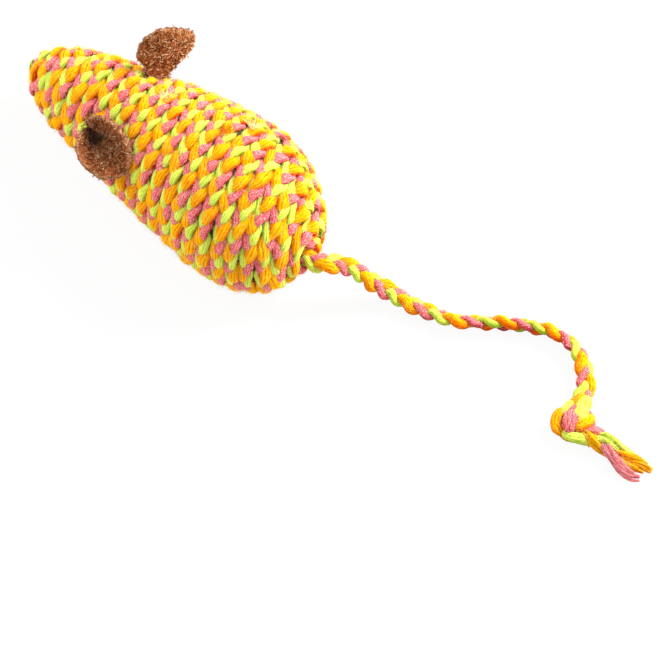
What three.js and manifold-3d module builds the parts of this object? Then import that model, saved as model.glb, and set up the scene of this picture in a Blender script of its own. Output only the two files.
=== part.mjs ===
// Catnip mouse: a moulded core wound with a plait, two felt ears and a plaited tail.
// Millimetres. +X runs from the nose to the tail, +Y is the mouse's right side, +Z is up.
// The mouse lies on z = 0.
import * as THREE from "three";
import { mergeVertices } from "three/addons/utils/BufferGeometryUtils.js";
import Module from "manifold-3d";

const wasm = await Module();
wasm.setup();

// Fits
const seatGap = 0.3; // between pieces that touch
const overrun = 5; // how far a cutting block reaches past what it cuts

// Body, measured on the middle of the plait that covers it
const bodyLength = 88.1;
const bodyHalfWidth = 18;
const bodyHeightShare = 0.93; // height over width of a cross-section
const bellyPress = 0.5; // how much the belly is pressed flat
const rumpCentreShare = 0.8;
// Station along the length, half width, and height of the centre.
const bodyOutlineShares = [
  [0, 0, 0.575],
  [0.03, 0.25, 0.605],
  [0.1, 0.464, 0.67],
  [0.2, 0.61, 0.79],
  [0.35, 0.765, 0.87],
  [0.5, 0.885, 0.925],
  [0.62, 0.965, 0.985],
  [0.72, 1, 0.995],
  [0.8, 0.96, 0.965],
  [0.88, 0.81, 0.905],
  [0.94, 0.583, 0.85],
  [0.98, 0.31, 0.82],
  [1, 0, rumpCentreShare],
];

// Plait wound round the body
const plaitThickness = 3.4;
const turnGap = 0.45; // least clearance between neighbouring turns
const windingLoops = 23;
const stepsPerLoop = 24;
const windingSides = 6;
const windingStart = 2.7; // from the nose to the middle of the first turn
const windingStartAngle = THREE.MathUtils.degToRad(180); // it starts under the nose
const windingLeanShare = 0.24; // how far the turns lean forward on the far side
const windingLeanAngle = THREE.MathUtils.degToRad(-66); // where they lean forward most
const windingFlat = 0.4; // depth of the flats that the mouse lies on

// Core
const coreRings = 30;

// Pouch in the core
const pouchLength = 36;
const pouchRadius = 8.5;
const pouchWall = 0.6;
const pouchNeckRadius = 2.6;
const pouchNeckLength = 5;
const pouchStationShare = 0.54; // of the body's side line
const pouchRings = 12;
const pouchSides = 24;
const tieRadius = 0.5;

// Tail
const tailDiameter = 4.2;
const tailSides = 10;
const tailSteps = 14;
const tailStandOut = 1.2; // from the winding to the tail's pivot
// Middle of the tail's free length, from the rump to the knot.
const tailRoute = [
  [48.5, 1.8, 14],
  [50.4, 4.2, 13],
  [54.6, 7, 9.6],
  [60.1, 9.7, 4.6],
  [66.5, 11.5, 2.3],
  [76.3, 13.9, 2.2],
  [81.7, 16.8, 2.2],
  [88.9, 22.2, 2.2],
  [96.6, 27.1, 2.2],
  [101.1, 28.7, 2.2],
  [106.2, 28.9, 2.2],
  [110.3, 27.6, 2.2],
  [114.2, 24.9, 2.2],
  [117.2, 20.7, 2.2],
  [118.9, 16.3, 2.4],
];
const anchorRadius = 4.4; // the knot inside the rump
const anchorDepth = 9; // from the rump's core to the middle of that knot
const knotRadius = 4.2;
const knotHeight = 5.8;
const knotPlace = [120.1, 11.9, 3];
const endDiameter = 2.6;
const endSides = 8;
const endSteps = 5;
const endRoutes = {
  tail_end_orange: [
    [124.7, 12, 2],
    [131.4, 12.7, 1.5],
    [144.8, 14, 1.4],
  ],
  tail_end_pink: [
    [123.8, 9.2, 2],
    [131.4, 9.6, 1.5],
    [143.5, 10.8, 1.4],
  ],
  tail_end_lime: [
    [123.8, 14.6, 2],
    [131.4, 15.8, 1.5],
    [140.6, 17, 1.4],
  ],
};

// Ears
const earThickness = 1.6;
const earRootRadius = 1.2;
const earRootLength = 3.4;
const earRootRings = 3;
const earColumns = 10;
// Distance along the ear, half width, and how far the felt is rolled.
const earOutlineShares = [
  [0, 0.5, 1],
  [0.1, 0.74, 0.9],
  [0.22, 0.92, 0.72],
  [0.4, 1, 0.54],
  [0.62, 0.97, 0.42],
  [0.82, 0.78, 0.34],
  [0.95, 0.45, 0.3],
  [1, 0.18, 0.3],
];
// The felt is cut and set by hand, so the ears differ. stationShare is of the body's side
// line. In degrees: how far the root is from the top, and how far the ear leans back from
// upright, is aimed aside, turns about its own length and is rolled at its root. The tip
// bows by a share of the length, and the flaps at the two sides reach back past the start.
const earPoses = {
  ear_left: {
    side: -1,
    stationShare: 0.324,
    fromTop: 50,
    lean: 74,
    aim: -3,
    turn: -30,
    roll: 256,
    bowShare: -0.3,
    flaps: [2.9, 0.3],
    start: 0.55,
    length: 13.8,
    halfWidth: 7.6,
  },
  ear_right: {
    side: 1,
    stationShare: 0.339,
    fromTop: 50,
    lean: 9.5,
    aim: -40,
    turn: 19,
    roll: 142,
    bowShare: 0,
    flaps: [0.5, 0.8],
    start: -0.5,
    length: 12,
    halfWidth: 8.8,
  },
};

// Felt, foam, cloth and yarn
const materials = {
  plait: new THREE.MeshStandardMaterial({ color: 0xf0b43c, roughness: 0.9, metalness: 0 }),
  orange: new THREE.MeshStandardMaterial({ color: 0xf79a14, roughness: 0.9, metalness: 0 }),
  pink: new THREE.MeshStandardMaterial({ color: 0xdb5f7c, roughness: 0.9, metalness: 0 }),
  lime: new THREE.MeshStandardMaterial({ color: 0xc4e24e, roughness: 0.9, metalness: 0 }),
  felt: new THREE.MeshStandardMaterial({ color: 0x6e4028, roughness: 0.95, metalness: 0 }),
  foam: new THREE.MeshStandardMaterial({ color: 0xeeeae0, roughness: 0.9, metalness: 0 }),
  muslin: new THREE.MeshStandardMaterial({ color: 0xe6dcc4, roughness: 0.95, metalness: 0 }),
  catnip: new THREE.MeshStandardMaterial({ color: 0x6f7d48, roughness: 1, metalness: 0 }),
  thread: new THREE.MeshStandardMaterial({ color: 0xf4f0e6, roughness: 0.9, metalness: 0 }),
};

const fullTurn = 2 * Math.PI;
const coreInset = plaitThickness / 2 + seatGap;
const bodyHalfHeight = bodyHeightShare * bodyHalfWidth + plaitThickness / 2;
const bodyCentreHeight = bodyHalfHeight - windingFlat - bellyPress;
const bellyLevel = plaitThickness / 2 - windingFlat; // of the plait's middle

// Side line of the body: nose, left side, rump and back along the right side.
const leftSide = bodyOutlineShares.map(
  ([station, width, height]) =>
    new THREE.Vector3(
      (station - 1 / 2) * bodyLength,
      width * bodyHalfWidth,
      height * bodyCentreHeight,
    ),
);
const rightSide = leftSide
  .slice(1, -1)
  .reverse()
  .map((point) => new THREE.Vector3(point.x, -point.y, point.z));
const sideLine = new THREE.CatmullRomCurve3([...leftSide, ...rightSide], true, "centripetal");
sideLine.arcLengthDivisions = 1200;
const sideLength = sideLine.getLength() / 2;

// A point of the body at a share of its side line and an angle from the top that goes
// down the left side, raised from the plait's middle by the outset.
function bodyPoint(along, angle, outset) {
  const side = sideLine.getPointAt(along / 2);
  const tangent = sideLine.getTangentAt(along / 2);
  const out = new THREE.Vector2(-tangent.y, tangent.x).normalize();
  const halfWidth = side.y + outset * out.y;
  const halfHeight = bodyHeightShare * side.y + outset * out.y;
  return new THREE.Vector3(
    side.x + outset * out.x,
    -halfWidth * Math.sin(angle),
    Math.max(side.z + halfHeight * Math.cos(angle), bellyLevel - outset),
  );
}

function bodyNormal(along, angle) {
  const outer = bodyPoint(along, angle, plaitThickness);
  return outer.sub(bodyPoint(along, angle, 0)).normalize();
}

// Joining and cutting
function solidOf(geometry) {
  const bare = geometry.clone();
  bare.deleteAttribute("normal");
  bare.deleteAttribute("uv");
  const merged = mergeVertices(bare);
  return new wasm.Manifold(
    new wasm.Mesh({
      numProp: 3,
      vertProperties: new Float32Array(merged.attributes.position.array),
      triVerts: new Uint32Array(merged.index.array),
    }),
  );
}

function geometryOf(solid) {
  const mesh = solid.getMesh();
  const geometry = new THREE.BufferGeometry();
  geometry.setAttribute("position", new THREE.BufferAttribute(mesh.vertProperties, 3));
  geometry.setIndex(new THREE.BufferAttribute(mesh.triVerts, 1));
  geometry.computeVertexNormals();
  return geometry;
}

function blockBetween(low, high) {
  const size = new THREE.Vector3().subVectors(high, low);
  const middle = new THREE.Vector3().addVectors(low, high).multiplyScalar(1 / 2);
  return solidOf(
    new THREE.BoxGeometry(size.x, size.y, size.z).translate(middle.x, middle.y, middle.z),
  );
}

// A closed skin over rings of points that all have the same count. An end with a point is
// closed on that point, and any other end by a fan over its ring.
function closedSkin(rings, firstPoint, lastPoint) {
  const count = rings[0].length;
  const points = [...rings.flat(), firstPoint ?? middleOf(rings[0])];
  points.push(lastPoint ?? middleOf(rings.at(-1)));
  const first = points.length - 2;
  const last = points.length - 1;
  const faces = [];
  for (let ring = 0; ring + 1 < rings.length; ring++) {
    for (let side = 0; side < count; side++) {
      const here = ring * count + side;
      const beside = ring * count + ((side + 1) % count);
      faces.push(here, beside, here + count);
      faces.push(beside, beside + count, here + count);
    }
  }
  for (let side = 0; side < count; side++) {
    const next = (side + 1) % count;
    const lastRing = (rings.length - 1) * count;
    faces.push(first, next, side);
    faces.push(last, lastRing + side, lastRing + next);
  }
  const geometry = new THREE.BufferGeometry().setFromPoints(points);
  geometry.setIndex(faces);
  geometry.computeVertexNormals();
  return geometry;
}

function middleOf(points) {
  const sum = points.reduce((total, point) => total.add(point), new THREE.Vector3());
  return sum.divideScalar(points.length);
}

const mouse = new THREE.Group();

function addPiece(name, geometry, material, parent = mouse) {
  const mesh = new THREE.Mesh(geometry, material);
  mesh.name = name;
  parent.add(mesh);
}

// Winding
const windingEnd =
  (tailDiameter / 2 + seatGap) / (1 - windingLeanShare) + (sideLength / windingLoops) / 2;
const windingPitch = (sideLength - windingStart - windingEnd) / windingLoops;

// Where the winding's middle is after a number of loops, as a place on the body.
function windingPlace(loops) {
  const angle = windingStartAngle + fullTurn * loops;
  const distance = windingStart + windingPitch * loops;
  const halfWidth = sideLine.getPointAt(distance / sideLength / 2).y;
  const lean = windingLeanShare * halfWidth * Math.cos(angle - windingLeanAngle);
  return [(distance - lean) / sideLength, angle];
}

function windingPoint(loops) {
  const [along, angle] = windingPlace(loops);
  return bodyPoint(along, angle, 0);
}

function windingTangent(loops) {
  const reach = 1 / stepsPerLoop / 4;
  return windingPoint(loops + reach).sub(windingPoint(loops - reach)).normalize();
}

// Square distance to a neighbouring turn, the smaller of the two.
function roomAt(loops) {
  const here = windingPoint(loops);
  const tangent = windingTangent(loops);
  const neighbours = [loops - 1, loops + 1].filter((other) => other >= 0 && other <= windingLoops);
  const rooms = neighbours.map((other) => {
    const across = windingPoint(other).sub(here);
    return across.cross(tangent).length();
  });
  return Math.min(...rooms);
}

function windingRing(loops) {
  const tangent = windingTangent(loops);
  const [along, angle] = windingPlace(loops);
  const side = new THREE.Vector3().crossVectors(bodyNormal(along, angle), tangent).normalize();
  const up = new THREE.Vector3().crossVectors(tangent, side);
  const halfWidth = (roomAt(loops) - turnGap) / 2;
  const halfHeight = plaitThickness / 2 / Math.sin(fullTurn / windingSides);
  const middle = windingPoint(loops);
  return Array.from({ length: windingSides }, (_, corner) => {
    const turn = (fullTurn * corner) / windingSides;
    return middle
      .clone()
      .addScaledVector(side, halfWidth * Math.cos(turn))
      .addScaledVector(up, halfHeight * Math.sin(turn));
  });
}

const windingRings = Array.from({ length: windingLoops * stepsPerLoop + 1 }, (_, step) =>
  windingRing(step / stepsPerLoop),
);

// Least distance from the corners of each ring to the edges of the turns beside it.
function leastTurnGap(rings) {
  const near = Math.round(stepsPerLoop / 2);
  const closest = new THREE.Vector3();
  const edge = new THREE.Line3();
  let least = Infinity;
  rings.forEach((ring, index) => {
    const last = Math.min(index + 3 * near, rings.length - 1);
    for (let other = index + near; other < last; other++) {
      for (let side = 0; side < windingSides; side++) {
        edge.set(rings[other][side], rings[other + 1][side]);
        for (const corner of ring) {
          edge.closestPointToPoint(corner, true, closest);
          least = Math.min(least, closest.distanceTo(corner));
        }
      }
    }
  });
  return least;
}

console.log("least gap of the winding to itself:", leastTurnGap(windingRings).toFixed(3), "mm");

const floorBlock = blockBetween(
  new THREE.Vector3(-bodyLength, -bodyLength, -bodyHalfHeight),
  new THREE.Vector3(bodyLength, bodyLength, 0),
);
addPiece(
  "body_winding",
  geometryOf(solidOf(closedSkin(windingRings)).subtract(floorBlock)),
  materials.plait,
);

// Pouch, its filling and its tie. They lie along X with the neck toward the nose.
const pouchCentre = sideLine.getPointAt(pouchStationShare / 2).setY(0);

// Outline of the bag from its closed end to its mouth, drawn in by an inset.
function bagOutline(inset) {
  const radius = pouchRadius - inset;
  const halfLength = pouchLength / 2 - inset;
  const neckRadius = pouchNeckRadius - inset;
  const neckAngle = Math.acos(neckRadius / radius);
  const points = [new THREE.Vector2(0, -halfLength)];
  for (let ring = 1; ring <= pouchRings; ring++) {
    const angle = -fullTurn / 4 + ((neckAngle + fullTurn / 4) * ring) / pouchRings;
    points.push(new THREE.Vector2(radius * Math.cos(angle), halfLength * Math.sin(angle)));
  }
  points.push(new THREE.Vector2(neckRadius, pouchLength / 2 + pouchNeckLength));
  return points;
}

// Turns a lathed shape whose axis is Y so that its axis points to the nose.
function towardNose(geometry) {
  return geometry
    .rotateZ(fullTurn / 4)
    .translate(pouchCentre.x, pouchCentre.y, pouchCentre.z);
}

const bagShell = new THREE.LatheGeometry(
  [...bagOutline(0), ...bagOutline(pouchWall).reverse()],
  pouchSides,
);
addPiece("catnip_pouch", towardNose(bagShell), materials.muslin);

const fillingInset = pouchWall + seatGap;
const filling = new THREE.SphereGeometry(pouchRadius - fillingInset, pouchSides, pouchRings);
filling.scale(1, (pouchLength / 2 - fillingInset) / (pouchRadius - fillingInset), 1);
addPiece("catnip_filling", towardNose(filling), materials.catnip);

const tieRingRadius = pouchNeckRadius + seatGap + tieRadius;
const tiePlace = pouchLength / 2 + pouchNeckLength / 2;
const tie = new THREE.TorusGeometry(tieRingRadius, tieRadius, pouchRings / 2, pouchSides);
tie.rotateX(fullTurn / 4).translate(0, tiePlace, 0);
addPiece("pouch_tie", towardNose(tie), materials.thread);

// Tail anchor: a knot in the rump, and the plait's inner end, round at the tail's pivot
const rump = sideLine.getPointAt(1 / 2);
const tailPivot = new THREE.Vector3(
  rump.x + plaitThickness / 2 + tailStandOut,
  0,
  rump.z,
);
const anchorPlace = new THREE.Vector3(rump.x - coreInset - anchorDepth, 0, rump.z);

function alongX(geometry, from, to) {
  return geometry.rotateZ(-fullTurn / 4).translate((from.x + to.x) / 2, from.y, from.z);
}

const anchorKnot = new THREE.SphereGeometry(anchorRadius, pouchSides / 2, pouchRings);
anchorKnot.translate(anchorPlace.x, anchorPlace.y, anchorPlace.z);
const innerEnd = new THREE.CapsuleGeometry(
  tailDiameter / 2,
  tailPivot.x - anchorPlace.x,
  pouchRings / 3,
  pouchSides / 2,
);
const anchorSolid = solidOf(alongX(innerEnd, anchorPlace, tailPivot)).add(solidOf(anchorKnot));
addPiece("tail_anchor", geometryOf(anchorSolid), materials.plait);

// Core halves, cut round the pouch, its tie and the tail anchor
function coreSkin() {
  const rings = [];
  for (let ring = 1; ring < coreRings; ring++) {
    const along = ring / coreRings;
    rings.push(
      Array.from({ length: stepsPerLoop }, (_, step) =>
        bodyPoint(along, (fullTurn * step) / stepsPerLoop, -coreInset),
      ),
    );
  }
  return closedSkin(rings, bodyPoint(0, 0, -coreInset), bodyPoint(1, 0, -coreInset));
}

function pouchPocket() {
  const radius = pouchRadius + seatGap;
  const pocket = new THREE.SphereGeometry(radius, pouchSides, pouchRings);
  pocket.scale(1, (pouchLength / 2 + seatGap) / radius, 1);
  const neckRadius = tieRingRadius + tieRadius + seatGap;
  const neckLength = pouchLength / 2 + pouchNeckLength + seatGap;
  const neck = new THREE.CylinderGeometry(neckRadius, neckRadius, neckLength, pouchSides);
  neck.translate(0, neckLength / 2, 0);
  return solidOf(towardNose(pocket)).add(solidOf(towardNose(neck)));
}

function anchorPocket() {
  const pocket = new THREE.SphereGeometry(anchorRadius + seatGap, pouchSides / 2, pouchRings);
  pocket.translate(anchorPlace.x, anchorPlace.y, anchorPlace.z);
  const boreRadius = tailDiameter / 2 + seatGap;
  const boreLength = tailPivot.x - anchorPlace.x;
  const bore = new THREE.CylinderGeometry(boreRadius, boreRadius, boreLength, pouchSides / 2);
  return solidOf(pocket).add(solidOf(alongX(bore, anchorPlace, tailPivot)));
}

const wholeCore = solidOf(coreSkin()).subtract(pouchPocket()).subtract(anchorPocket());
const coreSides = { core_left: -1, core_right: 1 };
for (const [name, side] of Object.entries(coreSides)) {
  const seam = (side * seatGap) / 2;
  const beyond = side * (bodyHalfWidth + overrun);
  const keep = blockBetween(
    new THREE.Vector3(-bodyLength, Math.min(seam, beyond), 0),
    new THREE.Vector3(bodyLength, Math.max(seam, beyond), 2 * bodyHalfHeight + overrun),
  );
  addPiece(name, geometryOf(wholeCore.intersect(keep)), materials.foam);
}

// Ears
// A point of the felt's middle at a share along the ear and from -1 to 1 across it: x runs
// across, y along the ear, and z toward the hollow side.
function feltPoint(ear, along, across) {
  const row = earOutlineShares.findIndex(([share]) => share >= along);
  const [high, highWidth, highRoll] = earOutlineShares[Math.max(row, 1)];
  const [low, lowWidth, lowRoll] = earOutlineShares[Math.max(row, 1) - 1];
  const between = (along - low) / (high - low);
  const halfWidth = ear.halfWidth * THREE.MathUtils.lerp(lowWidth, highWidth, between);
  const rootRoll = THREE.MathUtils.degToRad(ear.roll);
  const roll = rootRoll * THREE.MathUtils.lerp(lowRoll, highRoll, between);
  const radius = (2 * halfWidth) / roll;
  const turn = (across * roll) / 2;
  const rootBack = (earRootRadius - earThickness / 2) * (1 - along);
  const flap = ear.flaps[across > 0 ? 1 : 0] * across ** 2 * (1 - along);
  const bow = ear.bowShare * ear.length * along ** 2;
  return new THREE.Vector3(
    radius * Math.sin(turn),
    ear.start + along * ear.length - flap,
    radius * (1 - Math.cos(turn)) - rootBack + bow,
  );
}

// Both faces of the felt as rings that go up one face and down the other.
function earFelt(ear) {
  const rings = earOutlineShares.map(([along]) => {
    const middles = Array.from({ length: earColumns + 1 }, (_, column) =>
      feltPoint(ear, along, (2 * column) / earColumns - 1),
    );
    const front = [];
    const back = [];
    middles.forEach((middle, column) => {
      const before = middles[Math.max(column - 1, 0)];
      const after = middles[Math.min(column + 1, earColumns)];
      const across = new THREE.Vector3().subVectors(after, before);
      const inward = new THREE.Vector3(-across.z, 0, across.x).setLength(earThickness / 2);
      front.push(middle.clone().add(inward));
      back.push(middle.clone().sub(inward));
    });
    return [...back, ...front.reverse()];
  });
  return solidOf(closedSkin(rings.reverse()));
}

function earShape(ear) {
  const root = new THREE.CapsuleGeometry(
    earRootRadius,
    earRootLength,
    earRootRings,
    earColumns + 2,
  ).rotateZ(fullTurn / 4);
  const felt = earFelt(ear).rotate([0, ear.turn, 0]);
  return geometryOf(felt.add(solidOf(root)));
}

// The ear's group stands on the winding, its x along the hinge and its y along the ear.
for (const [name, ear] of Object.entries(earPoses)) {
  const angle = -ear.side * THREE.MathUtils.degToRad(ear.fromTop);
  const normal = bodyNormal(ear.stationShare, angle);
  const rearward = bodyPoint(ear.stationShare + 1 / coreRings, angle, 0)
    .sub(bodyPoint(ear.stationShare - 1 / coreRings, angle, 0))
    .normalize();
  const hinge = new THREE.Vector3().crossVectors(rearward, normal).normalize();
  hinge.applyAxisAngle(normal, THREE.MathUtils.degToRad(ear.aim));
  const back = new THREE.Vector3().crossVectors(normal, hinge);
  const leanAngle = THREE.MathUtils.degToRad(ear.lean);
  const upward = normal
    .clone()
    .multiplyScalar(Math.cos(leanAngle))
    .addScaledVector(back, Math.sin(leanAngle));
  const hollow = new THREE.Vector3().crossVectors(hinge, upward);
  const group = new THREE.Group();
  group.applyMatrix4(new THREE.Matrix4().makeBasis(hinge, upward, hollow));
  const surface = bodyPoint(ear.stationShare, angle, plaitThickness / 2);
  group.position.copy(surface).addScaledVector(normal, earRootRadius + seatGap);
  addPiece(name, earShape(ear), materials.felt, group);
  mouse.add(group);
}

// Tail
function routeOf(points) {
  return new THREE.CatmullRomCurve3(points.map((point) => new THREE.Vector3(...point)));
}

function cordAlong(route, diameter, sides, steps) {
  const section = new THREE.Shape(
    Array.from({ length: sides }, (_, corner) => {
      const turn = (fullTurn * corner) / sides;
      return new THREE.Vector2(Math.cos(turn), Math.sin(turn)).multiplyScalar(diameter / 2);
    }),
  );
  return new THREE.ExtrudeGeometry(section, { extrudePath: route, steps, bevelEnabled: false });
}

addPiece(
  "tail_plait",
  cordAlong(routeOf(tailRoute), tailDiameter, tailSides, tailSteps),
  materials.plait,
);

const knot = new THREE.SphereGeometry(knotRadius, pouchSides / 2, pouchRings);
knot.scale(1, 1, knotHeight / 2 / knotRadius).translate(...knotPlace);
addPiece("tail_knot", knot, materials.plait);

const endMaterials = {
  tail_end_orange: materials.orange,
  tail_end_pink: materials.pink,
  tail_end_lime: materials.lime,
};
for (const [name, route] of Object.entries(endRoutes)) {
  addPiece(name, cordAlong(routeOf(route), endDiameter, endSides, endSteps), endMaterials[name]);
}

export default mouse;
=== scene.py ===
"""The looks of the catnip mouse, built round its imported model.

Metres. +X runs from the nose to the tail, +Y is the mouse's right side, +Z is up.
"""

import math

import bpy
import numpy as np
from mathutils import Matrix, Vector, noise


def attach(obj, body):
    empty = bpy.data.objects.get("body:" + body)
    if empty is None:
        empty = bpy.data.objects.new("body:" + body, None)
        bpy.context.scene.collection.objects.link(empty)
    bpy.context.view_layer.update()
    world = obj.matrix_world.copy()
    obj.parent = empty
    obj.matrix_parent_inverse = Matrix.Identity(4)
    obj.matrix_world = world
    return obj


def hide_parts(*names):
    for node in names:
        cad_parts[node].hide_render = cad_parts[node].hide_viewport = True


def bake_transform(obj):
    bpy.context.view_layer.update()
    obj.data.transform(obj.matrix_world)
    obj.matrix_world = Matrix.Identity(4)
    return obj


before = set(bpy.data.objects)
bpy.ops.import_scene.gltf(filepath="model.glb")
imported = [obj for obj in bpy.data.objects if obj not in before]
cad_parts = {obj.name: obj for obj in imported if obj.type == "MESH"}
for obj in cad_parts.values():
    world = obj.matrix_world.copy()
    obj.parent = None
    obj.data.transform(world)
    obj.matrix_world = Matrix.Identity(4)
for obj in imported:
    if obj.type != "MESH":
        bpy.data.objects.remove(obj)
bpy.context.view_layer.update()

MM = 0.001
FULL_TURN = 2 * math.pi


def new_object(name, data):
    """An object in the scene that shows the given data."""
    made = bpy.data.objects.new(name, data)
    bpy.context.scene.collection.objects.link(made)
    return made


# Camera

VIEW_WIDTH = 0.16625  # at the view's centre
VIEW_AZIMUTH = math.radians(40.5)
VIEW_ELEVATION = math.radians(61)
VIEW_CENTRE = Vector((0.0576, -0.00635, 0))
LENS = 1200  # mm, so long that the view has next to no perspective
SENSOR = 36  # mm

toward_camera = Vector((
    math.sin(VIEW_AZIMUTH) * math.cos(VIEW_ELEVATION),
    -math.cos(VIEW_AZIMUTH) * math.cos(VIEW_ELEVATION),
    math.sin(VIEW_ELEVATION),
))


def make_camera():
    """A far camera, from the rear left and above."""
    camera = new_object("camera", bpy.data.cameras.new("camera"))
    camera.data.lens = LENS
    camera.data.sensor_width = SENSOR
    camera.location = VIEW_CENTRE + toward_camera * (VIEW_WIDTH * LENS / SENSOR)
    camera.rotation_mode = "QUATERNION"
    camera.rotation_quaternion = (-toward_camera).to_track_quat("-Z", "Y")
    camera.data.clip_start = 0.01
    camera.data.clip_end = 20
    bpy.context.scene.camera = camera


make_camera()

# Sizes of the body, its winding and its tail

BODY_LENGTH = 88.1 * MM
BODY_HALF_WIDTH = 18 * MM
BODY_HEIGHT_SHARE = 0.93
BELLY_PRESS = 0.5 * MM
PLAIT_THICKNESS = 3.4 * MM
BELLY_FLAT = 0.4 * MM
# Station along the length, half width, and height of the centre, as shares.
BODY_OUTLINE = [
    (0, 0, 0.575), (0.03, 0.25, 0.605), (0.1, 0.464, 0.67), (0.2, 0.61, 0.79),
    (0.35, 0.765, 0.87), (0.5, 0.885, 0.925), (0.62, 0.965, 0.985), (0.72, 1, 0.995),
    (0.8, 0.96, 0.965), (0.88, 0.81, 0.905), (0.94, 0.583, 0.85), (0.98, 0.31, 0.82),
    (1, 0, 0.8),
]
LOOPS = 23
LOOPS_START = 2.7 * MM  # from the nose to the first turn
LOOPS_START_ANGLE = math.pi
LOOPS_LEAN = 0.24
LOOPS_LEAN_ANGLE = math.radians(-66)
# The yarn stands proud of the modelled winding, and sags where the mouse is heaviest. A
# table's first column is the station, as a share of the body's side line.
PROUD = [(0, 0.1), (0.25, 0.3), (0.5, 1.2), (0.75, 1.2), (1, 0)]  # mm
LEFT_LESS = 0.35  # the share by which the left side stands less proud
NOSE_PROUD = 1.5 * MM
NOSE_END = 0.3  # the station where the nose's fullness ends
REAR_SAG = 1.2 * MM
REAR_SAG_SHARE = [(0.5, 0), (0.72, 0.4), (0.85, 1), (0.95, 1.6), (1, 0.6)]
REAR_SAG_FROM_TOP = math.radians(118)
REAR_SAG_SPREAD = math.radians(32)
REAR_SHIFT = 0.9 * MM  # to the left
REAR_SHIFT_SHARE = [(0.6, 0), (0.82, 1), (1, 0.3)]
RUMP_CORNER = 0.9 * MM  # the low left corner is fuller
RUMP_CORNER_SHARE = [(0.75, 0), (0.9, 1)]
EAR_STATIONS = (0.324, 0.339)  # left and right
EAR_FROM_TOP = math.radians(50)
EAR_PRESS = 1.3 * MM  # how deep an ear sits in the plait
EAR_PRESS_REACH = 5 * MM

# The turns are wound by hand, and the last ones close round the tail as a collar.
WINDING_ENDS = (-0.42, LOOPS + 0.62)  # in turns
WINDING_ROUGH = 12000  # points by which the winding is measured
WAVER = 0.4 * MM
WAVER_LENGTH = 9 * MM
TILT = math.radians(14)  # by which the plait rocks from side to side
TILT_LENGTH = 6 * MM
DRAWN_IN = 1.4 * MM  # how far the last turns close in on the tail
DRAWN_TURNS = 1.8
DRAWN_MOST = 1.1
COLLAR = (43.3 * MM, 4.1 * MM, 14.03 * MM)  # its station, radius and height
COLLAR_SLOPE = (0.9, 0.44)  # how far an outset moves it along and out
COLLAR_TURN = 0.5  # the share of a turn in which the winding becomes the collar
COLLAR_TUCK = 2.5 * MM  # of its end, under the turn before
TUCK_TURN = 0.35
TUCK_DELAY = 0.8
TAIL_BORE = 2.4 * MM
USUAL_ROOM = 4.6 * MM  # between neighbouring turns
ROOM_LIMITS = (0.55, 1.7)  # as shares of the usual room
ROOM_AT_END = [(LOOPS - 0.9, 1.7), (LOOPS - 0.4, 0.68)]  # by turn

REPEAT = 13.6 * MM  # of each strand along the plait
SLIP = 2.2 * MM  # how much further round each turn's pattern sits than the one before
MATCHED_FROM = 80 * MM  # the length of turn from which the pattern is matched
MATCHED_RISE = 15 * MM
MATCHED_LEAD = 2  # turns by which the matching ends early, and over which it fades
STEP = 0.5 * MM  # between the rings of a strand
STRETCHES = 2  # pieces that each strand of the winding is made in

TAIL_PIVOT = Vector((46.95, 0, 14.03)) * MM
TAIL_ROUTE = [
    (48.5, 1.8, 14), (50.4, 4.2, 13), (54.6, 7, 9.6), (60.1, 9.7, 4.6), (66.5, 11.5, 2.3),
    (76.3, 13.9, 2.2), (81.7, 16.8, 2.2), (88.9, 22.2, 2.2), (96.6, 27.1, 2.2),
    (101.1, 28.7, 2.2), (106.2, 28.9, 2.2), (110.3, 27.6, 2.2), (114.2, 24.9, 2.2),
    (117.2, 20.7, 2.2), (118.9, 16.3, 2.4),
]
TAIL_IN_RUMP = [(33, 0, 14.03), (38, 0, 14.03), (43, -0.1, 14.03), (46.3, 0.1, 14.05)]
TAIL_IN_KNOT = [(119.3, 14, 3.2), (119.6, 11.6, 2.8)]
# How each colour goes on from the knot, and ends in loose cords.
END_ROUTES = {
    "orange": [(124.2, 12.1, 2), (126.7, 11.4, 3.2), (129, 11, 3), (130.8, 11.5, 1.6),
               (133.2, 12.2, 1.3), (136.4, 12.9, 1.7), (140.3, 14, 1.7), (144.7, 15.1, 1.2)],
    "pink": [(124.8, 11.4, 2), (125.7, 12.6, 3), (127.6, 13.9, 2.8), (129.4, 13.5, 1.7),
             (131.7, 11.9, 2.8), (134.8, 10.9, 2.5), (138.1, 10.4, 1.7), (141.5, 10.6, 1.3),
             (143.9, 12.3, 1.1)],
    "lime": [(126.7, 10.3, 1.6), (127.7, 11.8, 2.3), (129.4, 13.1, 3.2), (131.6, 13.8, 3),
             (134.2, 14.1, 2.2), (137.6, 14.8, 1), (141.4, 15.6, 0.9)],
}

# Node trees

ON_FLOOR = (-1, -1, 0.05 * MM)  # the least that a place of the mesh may be


def math_node(operation, reflected=False):
    """A method that adds a Math node, with its values swapped where it is reflected."""
    def method(number, *others):
        values = (number, *others)
        return number.bench.math(operation, *(values[::-1] if reflected else values))
    return method


class Number:
    """A number in a node tree. Arithmetic on it adds Math nodes."""

    def __init__(self, bench, socket):
        self.bench = bench
        self.socket = socket

    __add__ = __radd__ = math_node("ADD")
    __sub__ = math_node("SUBTRACT")
    __rsub__ = math_node("SUBTRACT", reflected=True)
    __mul__ = __rmul__ = math_node("MULTIPLY")
    __truediv__ = math_node("DIVIDE")
    __rtruediv__ = math_node("DIVIDE", reflected=True)
    __gt__ = math_node("GREATER_THAN")
    power = math_node("POWER")
    sine = math_node("SINE")
    cosine = math_node("COSINE")
    size = math_node("ABSOLUTE")

    def __neg__(self):
        return self * -1


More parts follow.
